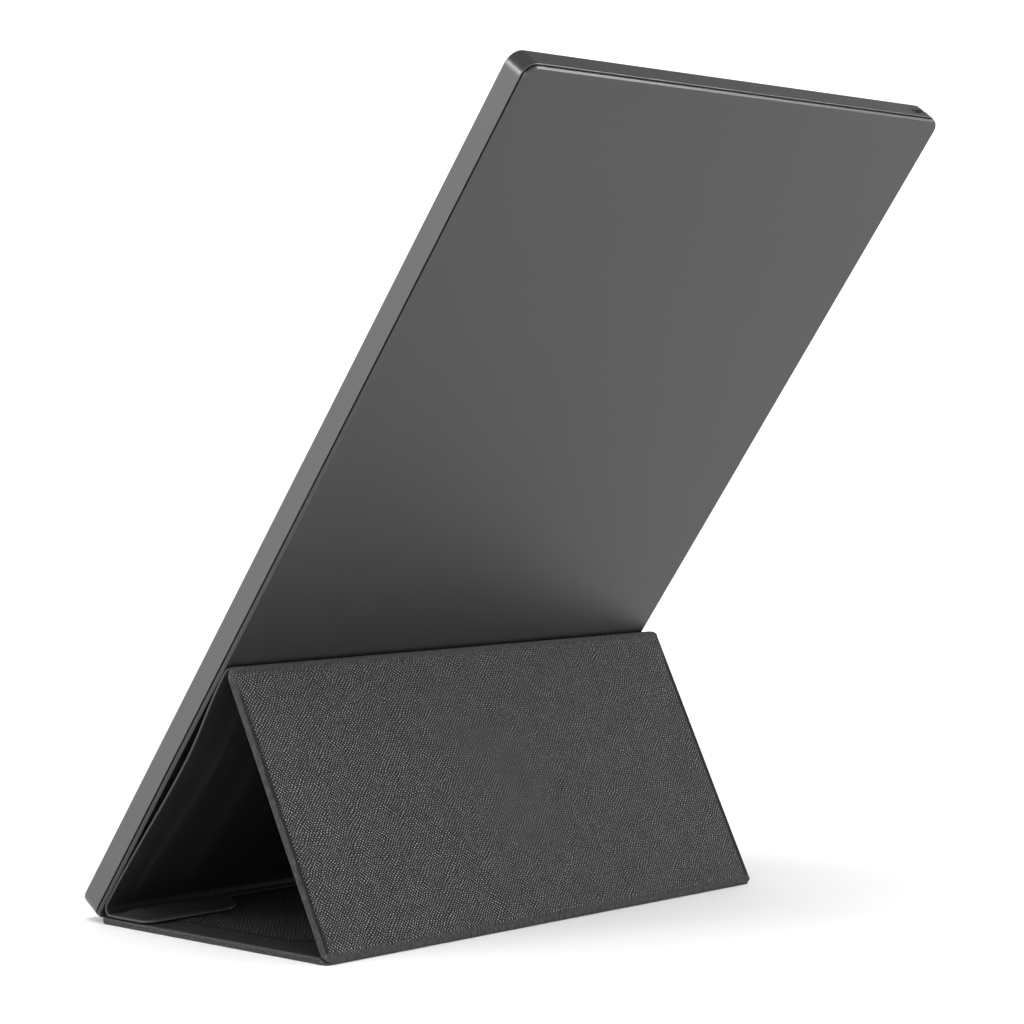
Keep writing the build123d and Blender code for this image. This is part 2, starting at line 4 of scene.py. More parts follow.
import bmesh
import bpy
import numpy as np
from mathutils import Matrix, Vector


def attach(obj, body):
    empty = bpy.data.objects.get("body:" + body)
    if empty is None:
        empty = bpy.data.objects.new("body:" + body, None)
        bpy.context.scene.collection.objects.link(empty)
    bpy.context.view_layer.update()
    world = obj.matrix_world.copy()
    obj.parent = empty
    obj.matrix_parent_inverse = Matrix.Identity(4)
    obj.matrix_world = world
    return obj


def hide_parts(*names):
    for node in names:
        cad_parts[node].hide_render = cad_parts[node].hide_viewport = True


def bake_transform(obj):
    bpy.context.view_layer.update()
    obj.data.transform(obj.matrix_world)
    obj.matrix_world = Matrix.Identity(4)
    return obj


# A thin portable monitor on its folded cloth cover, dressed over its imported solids.
# Shapes are worked out in millimetres and made in metres. X runs along the cover,
# Y away from the screen, Z up. On a panel, s runs away from its first end and t
# from its outer face towards its inner face. Camera, lamps and floor are in metres.

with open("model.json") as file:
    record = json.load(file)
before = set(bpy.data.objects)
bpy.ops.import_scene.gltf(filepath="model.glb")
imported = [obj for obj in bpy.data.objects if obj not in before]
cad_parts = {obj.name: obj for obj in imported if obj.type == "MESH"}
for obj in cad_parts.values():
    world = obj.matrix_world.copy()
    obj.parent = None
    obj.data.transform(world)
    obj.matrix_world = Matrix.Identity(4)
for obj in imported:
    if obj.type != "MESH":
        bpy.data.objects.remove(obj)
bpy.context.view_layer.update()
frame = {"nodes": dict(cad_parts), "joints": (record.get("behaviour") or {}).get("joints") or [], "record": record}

MM = 0.001

# ---- sizes shared with the solids ----
half_case = 116.2
floor_length = 119.4
cloth = 0.5
panel = 2.3
lining = 0.4
sheet = 1.0
fold_gap = 4.4
fold_thickness = 0.9
fold_inner_round = 0.4
fold_turn = 0.35  # two points of the fold cloth are worked out this far to each side of the fold's middle plane
panel_corner = 3.5
clearance = 0.3
lining_play = 0.05
sheet_bow = 2.5
bow_from_top = 41.0
curl_radius = 3.0
tongue_width = 52.0
tongue_depth = 20.8
tongue_outer_corner = 5.0
tongue_inner_corner = 17.0
hump_height = 2.0
hump_from_curl = 4.8
hump_end = 13.4
hump_side_fade = 9.0
field_pile = 0.3
field_half = 101.5
field_from_front = (14.5, 90.7)
field_corner = 8.0
field_sunk = 0.1

# ---- finish of the cloth ----
wrap_reach = 3.5  # the turned side edge takes up this much of a panel's outline
wrap_hem_round = 0.55
wrap_round = 0.9
groove_inset = 1.6
groove_half_width = 1.2
groove_wander = 0.25
groove_depth = 0.45
groove_change = 0.3
groove_on_floor = 0.6  # shares of the full depth
groove_on_slope = 0.85
groove_start = (1.5, 4.0)  # where the slope's groove begins, and over what length
groove_stop = (104.0, 10.0)
plain_reach = 1.3  # the woven face starts this far from a turned edge
hem_width = 5.6
hem_rise = 0.14
hem_fade = 0.7
# painted edge: a painted highlight along cut edges, and on the woven field a painted shadow line, fading out over
# this width
rim_width = 0.55
hem_line = (0.35, 0.45)  # the painted highlight line along a turned edge: its place on the cloth and its width
wave_count = 5
cloth_ripple = 0.05
fold_ribs = 0.05
fold_waist = (1.9, 2.3)  # the fold thickens from this far off its line, over this length
fold_plain = (3.9, 0.5)  # cloth without weave reaches this far from the fold line
field_ripple = 0.04
sheet_ripple = 0.08
tongue_ripple = 0.06
crease_drift = (3, 31)  # how far a crease strays sideways, and over what length
# each crease: distance from the middle, half its width, and its height
crease_forms = ((104, 2.6, 0.33), (96, 3.4, -0.27), (84, 5.0, 0.24), (109.5, 1.6, -0.225))
thread_pitch = 0.72
thread_wander = 4.5  # in pitches
thread_sharpness = 1.8
# shares of painted colour on the woven cloth: the painted edge highlight, and the painted shade in the pressed
# groove
edge_highlight_share = 0.5
groove_shade_share = 1.7
# how much each of these changes the thread's tone
melange = {"fuzz": 0.4, "patch": 0.2, "thread": 0.38, "slub": 0.4}
field_pitch = 1.8
rib_bend = 2.0
streak_size = (0.5, 2.6)  # threads of turned cloth, across and along

# ---- meshing ----
grid_step = 2.2
fold_step = 0.55
roll_step = 1.0
tongue_step = 1.2
edge_steps = [0, 0.12, 0.3, 0.5, 0.75, 1.05, 1.4, 1.8, 2.2, 2.6, 3.05, 3.5, 4.2, 5.2, 5.9, 7.0, 9.0]
weld_distance = 2e-6  # metres
smooth_angle = 40

# ---- camera and stage ----
camera_place = (0.78333545, 0.74773419, 0.18666533)
camera_azimuth = 132.24657654
camera_elevation = 2.04095163
camera_roll = 0.18733749
camera_lens = 101.135
sensor = 36.0
camera_clip = (0.05, 60)
floor_reach = 9.0
floor_sides = 96
floor_shade_tones = (0.72, 0.94)  # painted shade near the part, evening out the lamps' pool of light, and the tone far from it
floor_near_far = (0.45, 1.3)
wall_light = 1.35
wall_top = 0.22
wall_fade = (0.1, 0.6)
ceiling_power = 1400.0
overhead_power = 10.0
edge_power = 20.0
side_power = 9.0

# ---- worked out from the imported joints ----
joints = {joint["name"]: joint for joint in frame["joints"]}
apex = np.array(joints["top_fold"]["pos_m"][1:]) / MM
rear = np.array(joints["rear_fold"]["pos_m"][1:]) / MM
curl = np.array(joints["tongue_fold"]["pos_m"][1:]) / MM
off_back = np.array(joints["cover_pull_off"]["axis"][1:])
up_back = np.array([-off_back[1], off_back[0]])
slope_length = float(np.linalg.norm(apex - rear))
up_slope = (apex - rear) / slope_length
into_slope = np.array([-up_slope[1], up_slope[0]])
sheet_origin = apex - off_back * clearance
sheet_end = float((apex - curl) @ up_back)
curl_start = degrees(atan2(-off_back[1], -off_back[0]))
curl_turn = 270 - curl_start
floor_front = rear - np.array([floor_length, 0])
tongue_low = curl[1] - curl_radius
roll_length = radians(curl_turn) * curl_radius
wrap_wall = panel - wrap_hem_round - wrap_round
wrap_length = pi / 2 * (wrap_hem_round + wrap_round) + wrap_wall - wrap_round + wrap_reach


# ------------------------------------------------------------------- cloth grids
class Grid:
    """Points of a flat outline: x across, s along, and how far each is from a cut edge."""

    def __init__(self, x, s, free=(True, True), corners=(0, 0), notch=None, step=grid_step):
        self.width, self.length = x[1] - x[0], s[1] - s[0]
        rows = stations(s[0], s[1], free, self.length / step)
        cut = [corner_cut(rows - s[0], radius) if free[0] else 0 * rows for radius in corners]
        if notch is not None:
            cut = [corner_cut(np.abs(rows - notch), radius) for radius in corners]
        limits = zip(x[0] + cut[0], x[1] - cut[1])
        count = self.width / step
        self.x = np.array([stations(low, high, (True, True), count) for low, high in limits])
        self.s = np.repeat(rows[:, None], self.x.shape[1], axis=1)
        self.measure(x, s, free, corners, notch)

    def measure(self, x, s, free, corners, notch):
        """Distance to the cut edge, and the direction across it. A notch is a row that the
        corners round off towards, as at the end of a fold line."""
        side = np.where(self.x > (x[0] + x[1]) / 2, 1.0, -1.0)
        radius = np.where(side > 0, corners[1], corners[0])
        across = np.abs(self.x - (x[0] + x[1]) / 2) - self.width / 2 + radius
        from_end = self.s - s[0] if notch is None else np.abs(self.s - notch)
        end = -1.0 if notch is None else np.sign(self.s - notch) * -1
        along = radius - from_end if free[0] or notch is not None else np.full_like(across, -1e3)
        corner = (across > 0) & (along > 0)
        reach = np.maximum(np.hypot(across, along), 1e-9)
        nearest = np.maximum(across, along) if notch is None else across
        self.edge = np.where(corner, radius - reach, radius - nearest)
        if notch is not None:
            near_cusp = (across <= 0) & (along > 0)
            self.edge = np.where(near_cusp, np.minimum(self.edge, np.hypot(across, from_end)), self.edge)
        beside = across >= along
        self.out_x = np.where(corner, across / reach, np.where(beside, 1.0, 0.0)) * side
        self.out_s = np.where(corner, along / reach, np.where(beside, 0.0, 1.0)) * end
        if free[1]:
            last = s[1] - self.s
            nearer = last < self.edge
            self.edge = np.where(nearer, last, self.edge)
            self.out_x = np.where(nearer, 0.0, self.out_x)
            self.out_s = np.where(nearer, 1.0, self.out_s)
        self.edge = np.maximum(self.edge, 0)


def corner_cut(distance, radius):
    """How much a rounded corner narrows an outline, at a distance from its end."""
    missing = np.clip(radius - distance, 0, None)
    return radius - np.sqrt(radius**2 - missing**2)


def stations(low, high, free, count):
    """Places from low to high, closer together towards a free edge."""
    fitting = [place for place in edge_steps if place < 0.45 * (high - low)]
    start = low + np.array(fitting if free[0] else [0])
    stop = high - np.array(fitting if free[1] else [0])[::-1]
    return np.concatenate([start[:-1], np.linspace(start[-1], stop[0], max(2, int(count))), stop[1:]])


def smooth(value):
    """A soft step from 0 to 1."""
    value = np.clip(value, 0, 1)
    return value * value * (3 - 2 * value)


def bump(value):
    """One soft hill between -1 and 1."""
    return np.where(np.abs(value) < 1, (1 - np.clip(value, -1, 1) ** 2) ** 2, 0)


def unevenness(x, s, seed, scale):
    """A few long soft waves, the same ones each time."""
    random = np.random.default_rng(seed)
    total = np.zeros_like(x)
    for _ in range(wave_count):
        heading, phase = random.random(2) * 2 * pi
        length = scale * (0.6 + random.random())
        total += np.sin((x * cos(heading) + s * sin(heading)) * 2 * pi / length + phase)
    return total / wave_count


# ------------------------------------------------------------------ cloth meshes
def cloth_mesh(name, faces, uv, marks):
    """A closed sheet from its upper and lower grids of points, in millimetres."""
    rows, columns = faces[0].shape[:2]
    points = np.concatenate([side.reshape(-1, 3) for side in faces]) * MM
    far = rows * columns
    number = np.arange(far).reshape(rows, columns)
    quads = []
    for offset, turn in ((0, 1), (far, -1)):
        n = number + offset
        block = np.stack([n[:-1, :-1], n[:-1, 1:], n[1:, 1:], n[1:, :-1]], axis=-1).reshape(-1, 4)
        quads.append(block[:, ::turn])
    ring = np.concatenate([number[0, :-1], number[:-1, -1], number[-1, :0:-1], number[:0:-1, 0]])
    after = np.roll(ring, -1)
    quads.append(np.stack([after, ring, ring + far, after + far], axis=-1))
    mesh = bpy.data.meshes.new(name)
    mesh.from_pydata(points.tolist(), [], np.concatenate(quads).tolist())
    finish_mesh(mesh, np.concatenate([side.reshape(-1, 2) for side in uv]) * MM, marks)
    piece = bpy.data.objects.new(name, mesh)
    bpy.context.scene.collection.objects.link(piece)
    return piece


def finish_mesh(mesh, uv, marks):
    """Gives a mesh its weave coordinates, its painted edge light, its pressed groove with painted shade, and its
    smooth shading.
    """
    loops = np.zeros(len(mesh.loops), np.int32)
    mesh.loops.foreach_get("vertex_index", loops)
    layer = mesh.uv_layers.new(name="Weave")
    layer.data.foreach_set("uv", uv[loops].astype(np.float32).ravel())
    for kind in ("rim", "plain", "groove_and_shade"):
        attribute = mesh.attributes.new(kind, "FLOAT", "POINT")
        value = marks.get(kind, 0 * marks["rim"]).ravel()
        attribute.data.foreach_set("value", np.concatenate([value, value]).astype(np.float32))
    work = bmesh.new()
    work.from_mesh(mesh)
    bmesh.ops.remove_doubles(work, verts=work.verts, dist=weld_distance)
    bmesh.ops.recalc_face_normals(work, faces=work.faces)
    work.to_mesh(mesh)
    work.free()
    mesh.shade_smooth()
    mesh.set_sharp_from_angle(angle=radians(smooth_angle))


def stack(place, x, s, t):
    """Grid points in space, where place(s, t) gives their Y and Z."""
    x, s, t = np.broadcast_arrays(x, s, t)
    return np.concatenate([x[..., None], place(s, t)], axis=-1)


def thin_sheet(name, grid, place, low, high, shift=0.0, plain=0.0, painted_edge_share=1.0, crease_highlights=0.0):
    """A sheet between two heights over its outline, with soft rounded cut edges."""
    thickness = high - low
    round_off = np.maximum(thickness / 2, 0.05)
    share = np.clip(grid.edge / round_off, 0, 1)
    swell = np.sqrt(np.clip(1 - (1 - share) ** 2, 0, 1))
    middle = (high + low) / 2
    faces = [stack(place, grid.x, grid.s, middle + side * swell * thickness / 2) for side in (1, -1)]
    uv = np.stack([grid.x, grid.s + shift], axis=-1)
    # painted highlight along the cut edges, and painted highlights on the tops of raised creases
    rim = np.clip(painted_edge_share * np.clip(1 - grid.edge / rim_width, 0, 1) + crease_highlights, 0, 1)
    return cloth_mesh(name, faces, [uv, uv], {"rim": rim, "plain": plain + 0 * rim})


# ---------------------------------------------------------------- turned panels
def wrap_profile(path):
    """Section of cloth turned round a panel's edge: inset, height and inward normal."""
    first = pi / 2 * wrap_hem_round
    second = pi / 2 * wrap_round
    turn = np.clip(path / first, 0, 1) * pi / 2
    lower = np.clip((path - first - wrap_wall) / second, 0, 1) * pi / 2
    down = np.clip(path - first, 0, wrap_wall)
    inset = wrap_hem_round * (1 - np.sin(turn)) + wrap_round * (1 - np.cos(lower))
    height = panel - wrap_hem_round * (1 - np.cos(turn)) - down - wrap_round * np.sin(lower)
    inset = inset + np.clip(path - first - wrap_wall - second, 0, None)
    normal = np.where(path < first + wrap_wall, np.sin(turn), np.cos(lower))
    rise = np.where(path < first + wrap_wall, -np.cos(turn), np.sin(lower))
    return inset, height, normal, rise


def wrapped_cloth(name, grid, place, groove, seed, shift=0.0):
    """Outer cloth of a stiff panel, carried round its side edges."""
    turned = grid.edge < wrap_reach
    path = np.where(turned, grid.edge * wrap_length / wrap_reach, wrap_length)
    inset, height, normal, rise = wrap_profile(path)
    inset = np.where(turned, inset, grid.edge)
    move = grid.edge - inset
    x, s = grid.x + grid.out_x * move, grid.s + grid.out_s * move
    middle = groove_inset + groove_wander * unevenness(x, s, seed + 20, scale=9)
    # the pressed groove sinks the cloth, and its share also paints shade into it
    groove_and_shade = groove * bump((inset - middle) / groove_half_width)
    ripple = cloth_ripple * (1 + unevenness(x, s, seed, scale=60)) * smooth(inset / 6)
    outer = stack(place, x, s, np.where(turned, height, 0) + groove_depth * groove_and_shade + ripple)
    inner_x = x - grid.out_x * normal * cloth
    inner_s = s - grid.out_s * normal * cloth
    inner = stack(place, inner_x, inner_s, np.where(turned, height + rise * cloth, cloth))
    spread = (wrap_length - path) - (wrap_reach - np.minimum(grid.edge, wrap_reach))
    uv = np.stack([grid.x + grid.out_x * spread, grid.s + grid.out_s * spread + shift], axis=-1)
    hem_edge, wall_end = hem_line[0], wrap_length - wrap_reach
    # painted highlight lines along the top of the turned edge and where the cloth turns under
    rim = np.exp(-(((path - hem_edge) / hem_line[1]) ** 2)) + 0.5 * np.exp(-(((path - wall_end) / 0.5) ** 2))
    marks = {
        "rim": np.clip(rim, 0, 1),
        "plain": smooth((plain_reach - inset) / 0.4 + 0.5),
        "groove_and_shade": np.clip(groove_and_shade, 0, 1),
    }
    return cloth_mesh(name, [outer, inner], [uv, uv], marks)


def floor_place(s, t):
    return np.stack([floor_front[0] + s, floor_front[1] + t], axis=-1)


def slope_place(s, t):
    return rear + s[..., None] * up_slope + t[..., None] * into_slope


def sheet_place(s, t):
    return sheet_origin - s[..., None] * up_back + t[..., None] * off_back


def curl_place(s, t):
    angle = np.radians(curl_start) + s / curl_radius
    radius = curl_radius - t
    return curl + np.stack([np.cos(angle) * radius, np.sin(angle) * radius], axis=-1)


def tongue_place(s, t):
    return np.stack([curl[0] + s, tongue_low + t], axis=-1)


def fold_place(corner, first, second):
    """Round a fold line: s runs from -fold_gap to fold_gap, t inwards."""
    opening = acos(float(first @ second))
    radius = fold_inner_round + fold_thickness
    tangent = radius / np.tan(opening / 2)
    arc = (pi - opening) * radius
    middle = (first + second) / np.linalg.norm(first + second)
    centre = corner + middle * radius / sin(opening / 2)
    across = np.array([middle[1], -middle[0]])
    if across @ second < 0:
        across = -across
    reach = fold_gap - tangent + arc / 2

    def place(s, t):
        s = s / fold_gap * reach
        angle = np.clip(s, -arc / 2, arc / 2) / radius
        outward = -middle * np.cos(angle)[..., None] + across * np.sin(angle)[..., None]
        past = np.sign(s) * np.clip(np.abs(s) - arc / 2, 0, None)
        heading = across * np.cos(angle)[..., None] + middle * np.sin(angle)[..., None]
        return centre + outward * (radius - t)[..., None] + heading * past[..., None]

    return place


def make_panels(folds):
    """Outer cloth and lining of the floor panel and the sloped panel."""
    end = floor_length - fold_gap
    grid = Grid((-half_case, half_case), (0, end), (True, False), (panel_corner, panel_corner))
    floor_cloth = wrapped_cloth("floor_cloth", grid, floor_place, groove_on_floor, seed=3)
    finish_cloth(floor_cloth, "floor_outer_cloth", "floor_panel", woven_cloth)
    slope = Grid((-half_case, half_case), (fold_gap, slope_length - fold_gap), (False, False))
    fade = smooth((groove_stop[0] - slope.s) / groove_stop[1])
    fade = fade * smooth((slope.s - groove_start[0]) / groove_start[1])
    groove = fade * (groove_on_slope + groove_change * unevenness(slope.x, slope.s, seed=5, scale=14))
    slope_cloth = wrapped_cloth("slope_cloth", slope, slope_place, groove, seed=4, shift=floor_length)
    finish_cloth(slope_cloth, "sloped_outer_cloth", "sloped_panel", woven_cloth)
    edge = half_case - cloth - lining_play
    inner = Grid((-edge, edge), (cloth, end), (True, False), (panel_corner - cloth, panel_corner - cloth))
    make_lining("floor_inner_cloth", inner, floor_place, "floor_lining", "floor_panel", seed=7)
    inner = Grid((-edge, edge), (fold_gap, slope_length - fold_gap), (False, False))
    make_lining("slope_inner_cloth", inner, slope_place, "sloped_lining", "sloped_panel", seed=8)


def make_lining(name, grid, place, node, body, seed):
    """Inner cloth of a panel, laid over the turned hem of the outer cloth."""
    hem = smooth((hem_width - grid.edge) / hem_fade + 0.5) * smooth(grid.edge / 1.2)
    ripple = cloth_ripple * unevenness(grid.x, grid.s, seed, scale=45) * smooth(grid.edge / 3)
    piece = thin_sheet(name, grid, place, panel - lining, panel + hem_rise * hem + ripple)
    finish_cloth(piece, node, body, lining_cloth)


def make_field():
    grid = Grid((-field_half, field_half), field_from_front, (True, True), (field_corner, field_corner))
    round_last_corners(grid)
    high = panel + field_pile + field_ripple * unevenness(grid.x, grid.s, seed=9, scale=30)
    piece = thin_sheet("woven_floor_field", grid, floor_place, panel - field_sunk, high)
    finish_cloth(piece, "floor_woven_field", "floor_panel", woven_field)


def round_last_corners(grid):
    """Rounds the field's last corners as its first ones are."""
    cut = corner_cut(field_from_front[1] - grid.s, field_corner)
    middle = grid.x.mean(axis=1, keepdims=True)
    half = np.abs(grid.x - middle).max(axis=1, keepdims=True)
    grid.x = middle + (grid.x - middle) * (1 - np.clip(cut, 0, None) / half)


def make_fold(name, corner, first, second, node, ends, shift):
    """Cloth round a fold line, thin in the fold and as thick as the panels at its ends."""
    place = fold_place(corner, first, second)
    grid = Grid((-half_case, half_case), (-fold_gap, fold_gap), (False, False),
                (panel_corner, panel_corner), notch=0.0, step=fold_step)
    from_line = np.abs(grid.s)
    waves = np.sin(pi * grid.x / thread_pitch + 2 * unevenness(grid.x, grid.s, seed=11, scale=20))
    ribs = fold_ribs * waves * smooth((fold_gap - from_line) / 2.5)
    thicker = np.where(grid.s < 0, ends[0], ends[1]) - fold_thickness
    high = fold_thickness + thicker * smooth((from_line - fold_waist[0]) / fold_waist[1])
    plain = smooth((fold_plain[0] - from_line) / fold_plain[1])
    piece = thin_sheet(name, grid, place, ribs, high, shift, plain)
    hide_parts(node)
    start, end = [fold_point(corner, first, second, side * fold_turn) for side in (-1, 1)]
    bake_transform(piece)
    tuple(start)
    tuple(end)
    dress(piece, woven_cloth)
    return piece


def fold_point(corner, first, second, aside):
    """A point in metres beside the plane that halves a fold, nearer the second panel if aside is over 0."""
    across = (second - first) / np.linalg.norm(second - first)
    y, z = (corner + across * aside) * MM
    return (0, y, z)


def make_folds():
    """The cloth of the two folds."""
    top = make_fold("top_fold_cloth", apex, -up_back, -up_slope, "top_fold_strip",
                    (sheet, panel), shift=240)
    into_floor = np.array([-1.0, 0.0])
    low = make_fold("rear_fold_cloth", rear, into_floor, up_slope, "rear_fold_strip",
                    (panel, panel), shift=120)
    return [top, low]


# --------------------------------------------------------- sheet and its tongues
def belly(s):
    """How far the back sheet stands off the monitor, down its length."""
    rise = smooth((s - fold_gap) / (bow_from_top - fold_gap))
    fall = smooth((sheet_end - s) / (sheet_end - bow_from_top))
    return clearance + sheet_bow * np.where(s < bow_from_top, rise, fall)


def creases(x, s):
    """Soft upright creases of the back sheet near its side edges."""
    total = np.zeros_like(x)
    for place, width, height in crease_forms:
        middle = place + crease_drift[0] * np.sin(s / crease_drift[1] + place)
        total += height * (bump((x - middle) / width) + bump((x + middle) / width))
    return total * smooth((s - 8) / 20) * smooth((sheet_end - s) / 18)


def make_back_sheet(rolls):
    grid = Grid((-half_case, half_case), (fold_gap, sheet_end), (False, False))
    stand_off = belly(grid.s)
    ripple = sheet_ripple * unevenness(grid.x, grid.s, seed=13, scale=50) * smooth((stand_off - 0.5) / 1.5)
    folds = creases(grid.x, grid.s)
    # raised creases get painted highlights through the painted edge mark
    piece = thin_sheet("back_sheet", grid, sheet_place, stand_off + ripple, stand_off + sheet + folds,
                       crease_highlights=np.clip(folds, 0, 1))
    finish_cloth(piece, "mount_sheet", "mount_panel", inner_cloth)
    inner = half_case - tongue_width
    roll = Grid((-inner, inner), (0, roll_length), (False, True), step=roll_step)
    # only a faint painted highlight along the roll's edges
    middle = thin_sheet("rolled_lower_edge", roll, curl_place, 0, sheet, painted_edge_share=0.1)
    finish_cloth(middle, "mount_sheet", "mount_panel", inner_cloth)


def hump(s):
    """How far a tongue stands off the lining, away from its roll."""
    rise = smooth(s / hump_from_curl)
    fall = smooth((hump_end - s) / (hump_end - hump_from_curl))
    return hump_height * np.where(s < hump_from_curl, rise, fall)


def make_tongues():
    """The two tongues and the rolls that join them to the back sheet."""
    inner = half_case - tongue_width
    rolls = []
    for name, side in (("left", -1), ("right", 1)):
        span = (min(side * inner, side * half_case), max(side * inner, side * half_case))
        roll = Grid(span, (0, roll_length), (False, False), step=roll_step)
        piece = thin_sheet(f"{name}_tongue_roll", roll, curl_place, 0, sheet)
        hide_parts("tongue_fold_strips")
        start, end = [roll_point(place) for place in (0, roll_length)]
        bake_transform(piece)
        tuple(start)
        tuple(end)
        dress(piece, inner_cloth)
        rolls.append(piece)
        make_tongue(name, side, span)
    return rolls


def roll_point(s):
    """A point in metres inside the roll, at a distance along it."""
    y, z = curl_place(np.array([s]), np.array([sheet / 2]))[0] * MM
    return (0, y, z)


def make_tongue(name, side, span):
    corners = (tongue_outer_corner, tongue_inner_corner)[::-side]
    flipped = Grid(span, (0, tongue_depth), (True, False), corners, step=tongue_step)
    flipped.s = tongue_depth - flipped.s
    flipped.out_s = -flipped.out_s
    low = hump(flipped.s) * smooth((half_case - np.abs(flipped.x)) / hump_side_fade)
    ripple = tongue_ripple * unevenness(flipped.x, flipped.s, seed=17 + side, scale=18)
    high = low + sheet + ripple * smooth(flipped.edge / 3)
    piece = thin_sheet(f"{name}_tongue", flipped, tongue_place, low, high, shift=220)
    finish_cloth(piece, f"closing_tongue_{name}", "closing_tongues", lining_cloth)


# --------------------------------------------------------------------- materials
class Shader:
    """A material whose nodes are added one by one."""

    def __init__(self, name, **sockets):
        self.material = bpy.data.materials.new(name)
        self.material.use_nodes = True
        self.tree = self.material.node_tree
        self.surface = self.tree.nodes["Principled BSDF"]
        for socket, value in sockets.items():
            self.surface.inputs[socket.replace("_", " ")].default_value = value

    def add(self, kind, inputs=None, **settings):
        node = self.tree.nodes.new(kind)
        for name, value in settings.items():
            setattr(node, name, value)
        for key, value in (inputs or {}).items():
            self.feed(node.inputs[key], value)
        return node

    def feed(self, socket, value):
        if isinstance(value, bpy.types.NodeSocket):
            self.tree.links.new(value, socket)
        else:
            socket.default_value = value

    def math(self, operation, *values):
        node = self.add("ShaderNodeMath", dict(enumerate(values)), operation=operation)
        return node.outputs[0]

    def mix(self, share, first, second):
        node = self.add("ShaderNodeMix", {0: share, 6: first, 7: second}, data_type="RGBA")
        return node.outputs[2]

    def noise(self, place, scale, detail=2.0):
        node = self.add("ShaderNodeTexNoise", {"Vector": place, "Scale": scale, "Detail": detail})
        return node.outputs["Fac"]

    def spread(self, value, low, high):
        node = self.add("ShaderNodeMapRange", {0: value, 3: low, 4: high})
        return node.outputs[0]

    def place(self):
        return self.add("ShaderNodeTexCoord").outputs["Object"]

    def cloth_place(self):
        return self.add("ShaderNodeUVMap", uv_map="Weave").outputs[0]

    def bump(self, height, strength, distance):
        inputs = {"Height": height, "Strength": strength, "Distance": distance}
        self.feed(self.surface.inputs["Normal"], self.add("ShaderNodeBump", inputs).outputs[0])

    def colour(self, value):
        self.feed(self.surface.inputs["Base Color"], value)

    def roughness(self, value):
        self.feed(self.surface.inputs["Roughness"], value)


def grey(value, blue=1.0):
    return (value, value, value * blue, 1.0)


def grained(name, dark, light, rough, scale=900.0, depth=0.00002, **sockets):
    """A plain material with a fine grain in its colour, gloss and surface."""
    shader = Shader(name, **sockets)
    place = shader.place()
    grain = shader.noise(place, scale, 3.0)
    patch = shader.noise(place, scale / 30)
    blend = shader.math("MULTIPLY_ADD", patch, 0.5, shader.math("MULTIPLY", grain, 0.5))
    shader.colour(shader.mix(blend, dark, light))
    shader.roughness(shader.spread(grain, rough[0], rough[1]))
    shader.bump(grain, 0.3, depth)
    return shader.material


def weave(shader, pitch):
    """Plain weave: which thread is on top, how high it stands, and each crossing's own tone."""
    uv = shader.cloth_place()
    wander = shader.add("ShaderNodeTexNoise", {"Vector": uv, "Scale": 110.0, "Detail": 3.0}).outputs["Color"]
    wander = scaled(shader, wander, pitch * MM * thread_wander)
    uv = shader.add("ShaderNodeVectorMath", {0: uv, 1: wander}, operation="ADD").outputs[0]
    uv = scaled(shader, uv, 1 / (pitch * MM))
    split = shader.add("ShaderNodeSeparateXYZ", {0: uv})
    waves = [shader.math("SINE", shader.math("MULTIPLY", split.outputs[k], pi)) for k in (0, 1)]
    over = shader.math("MULTIPLY", waves[0], waves[1])
    above = shader.math("MAXIMUM", over, 0.0)
    height = shader.math("POWER", shader.math("ABSOLUTE", over), 0.5)
    cell = shader.add("ShaderNodeVectorMath", {0: uv}, operation="FLOOR").outputs[0]
    tone = shader.add("ShaderNodeTexWhiteNoise", {"Vector": cell}, noise_dimensions="2D").outputs["Value"]
    return above, height, tone, uv


def twill(shader, pitch):
    """Diagonal ribs: how high they stand, and the scaled coordinates."""
    uv = scaled(shader, shader.cloth_place(), 1 / (pitch * MM))
    split = shader.add("ShaderNodeSeparateXYZ", {0: uv})
    slant = shader.math("SUBTRACT", split.outputs[0], split.outputs[1])
    bend = shader.math("MULTIPLY", shader.noise(uv, 0.6), rib_bend)
    rib = shader.math("SINE", shader.math("MULTIPLY", shader.math("ADD", slant, bend), pi))
    return shader.math("ABSOLUTE", rib), uv


def thread_streaks(shader):
    """Close parallel threads, as where the cloth is turned or folded."""
    scale = [1 / (size * MM) for size in streak_size]
    uv = shader.add("ShaderNodeMapping", {"Vector": shader.cloth_place(), "Scale": (*scale, 1.0)}).outputs[0]
    return shader.math("POWER", shader.spread(shader.noise(uv, 1.0), -0.3, 1.7), 2.0)


def mark(shader, name):
    """A share kept at a mesh's points: painted edge highlight or painted shadow line, cloth without weave, or
    pressed groove with painted shade.
    """
    return shader.add("ShaderNodeAttribute", attribute_name=name).outputs["Fac"]


def scaled(shader, value, share):
    """A colour or place times a share."""
    return shader.add("ShaderNodeVectorMath", {0: value, "Scale": share}, operation="SCALE").outputs[0]


